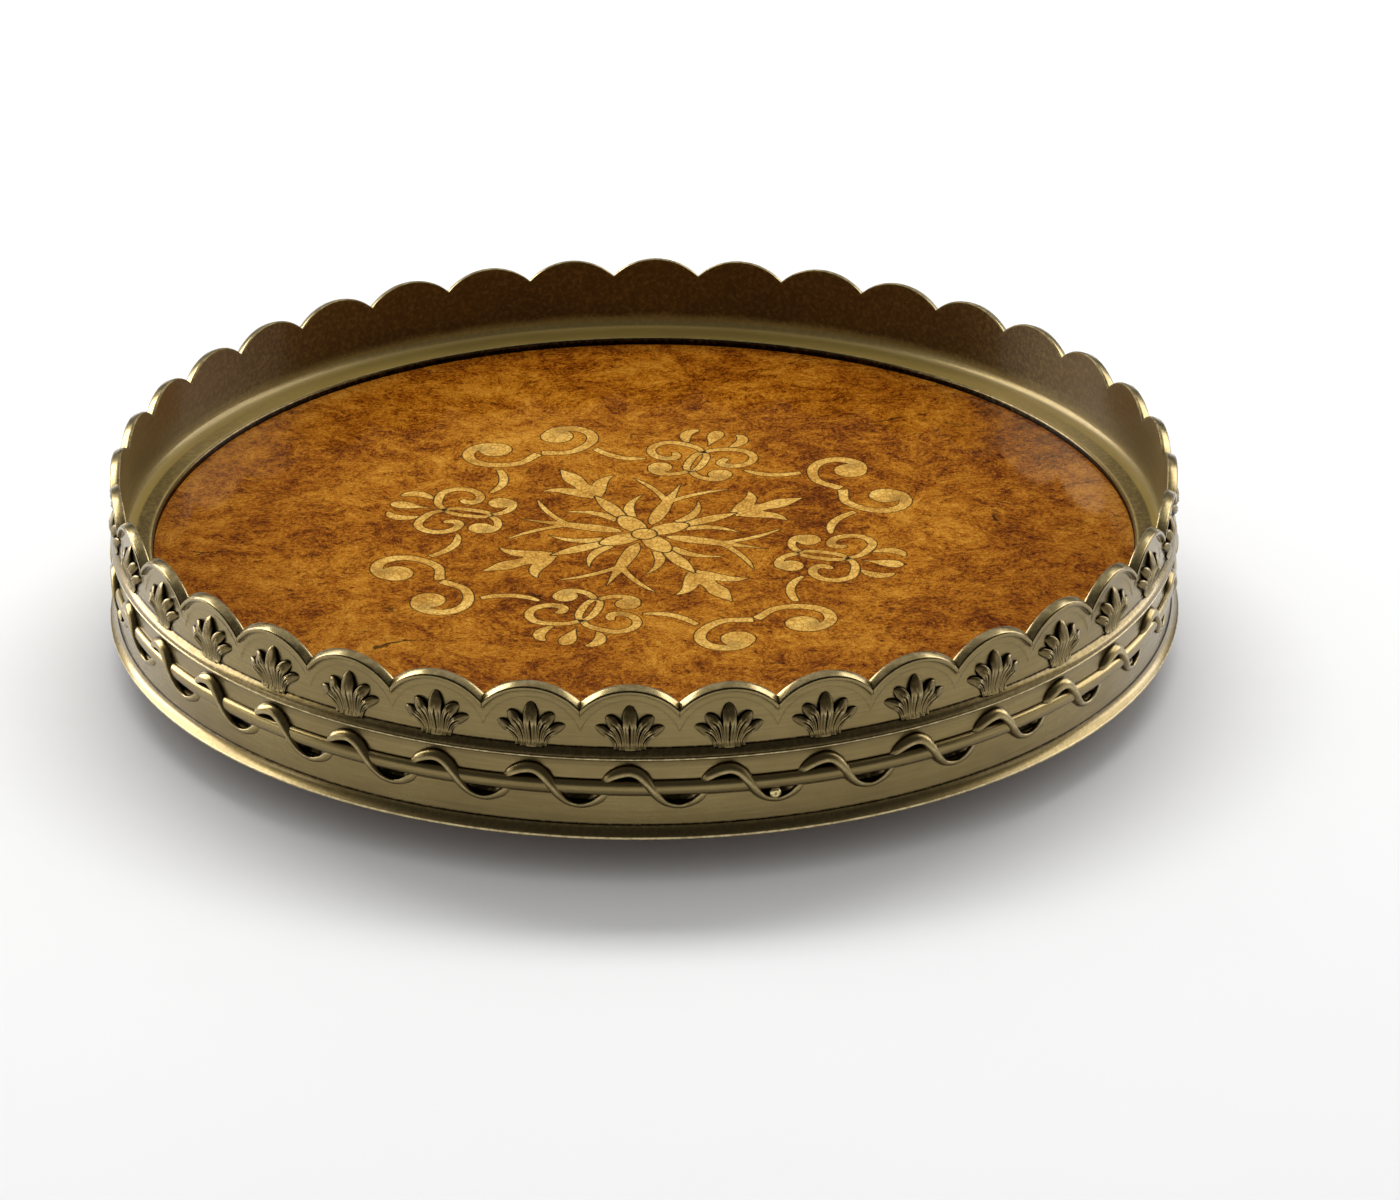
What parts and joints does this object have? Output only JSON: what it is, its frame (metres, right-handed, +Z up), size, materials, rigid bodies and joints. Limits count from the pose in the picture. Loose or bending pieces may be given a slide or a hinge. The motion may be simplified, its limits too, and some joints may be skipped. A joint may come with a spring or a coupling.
{
  "type": "turntable tray",
  "caption": "Round gallery tray with a scalloped antiqued-brass gallery, an inlaid burl-wood panel and a recessed turntable base.",
  "frame": {"origin": "on the table top, on the tray's centre line, under the feet", "axes": "+Z up along the turning axis; -Y is the side that faces the viewer"},
  "size_m": [0.457, 0.457, 0.085],
  "materials": {
    "antiqued_brass": "cast brass with a brown-black antique patina, rubbed back on edges",
    "bright_brass": "plain bright brass, lightly tarnished",
    "burl_veneer": "burl veneer under a high-gloss lacquer",
    "inlay_veneer": "pale fruitwood veneer, sand-shaded, under the same lacquer",
    "plain_veneer": "plain veneer, satin",
    "plywood": "plywood, unfinished, hidden",
    "black_paint": "satin black painted wood",
    "foot_rubber": "matt black rubber",
    "zinc_steel": "zinc-plated steel",
    "ring_aluminium": "extruded aluminium, satin",
    "ball_steel": "polished steel",
    "cage_plastic": "natural nylon"
  },
  "bodies": {
    "base": {"base_disc": "black_paint", "base_feet": "foot_rubber", "foot_screws": "zinc_steel", "bearing_outer_ring": "ring_aluminium", "outer_ring_screws": "zinc_steel"},
    "ball_cage": {"bearing_cage": "cage_plastic", "bearing_balls": "ball_steel"},
    "turntable": {"bearing_inner_ring": "ring_aluminium", "inner_ring_screws": "zinc_steel", "backing_veneer": "plain_veneer", "core_board": "plywood", "burl_veneer": "burl_veneer", "gallery_band": "antiqued_brass", "gallery_palmettes": "antiqued_brass", "gallery_ribbon": "antiqued_brass", "gallery_pins": "bright_brass", "inlay_rosette_centre": "inlay_veneer", "inlay_rosette_ovals": "inlay_veneer", "inlay_pointed_petals": "inlay_veneer", "inlay_curved_petals": "inlay_veneer", "inlay_forked_leaves": "inlay_veneer", "inlay_leaf_sprays": "inlay_veneer", "inlay_bracket_scrolls": "inlay_veneer", "inlay_tendrils": "inlay_veneer", "inlay_crest_scrolls": "inlay_veneer", "inlay_crest_lenses": "inlay_veneer", "inlay_crest_volutes": "inlay_veneer", "inlay_crest_petals": "inlay_veneer"}
  },
  "joints": [
    {"name": "tray_spin", "type": "hinge", "parent": "base", "child": "turntable", "pos_m": [0, 0, 0.0248], "axis": [0, 0, 1], "continuous": true},
    {"name": "cage_spin", "type": "hinge", "parent": "base", "child": "ball_cage", "pos_m": [0, 0, 0.0248], "axis": [0, 0, 1], "continuous": true}
  ],
  "couplings": [
    {"joint": "cage_spin", "follows": "tray_spin", "ratio": 0.4851}
  ]
}
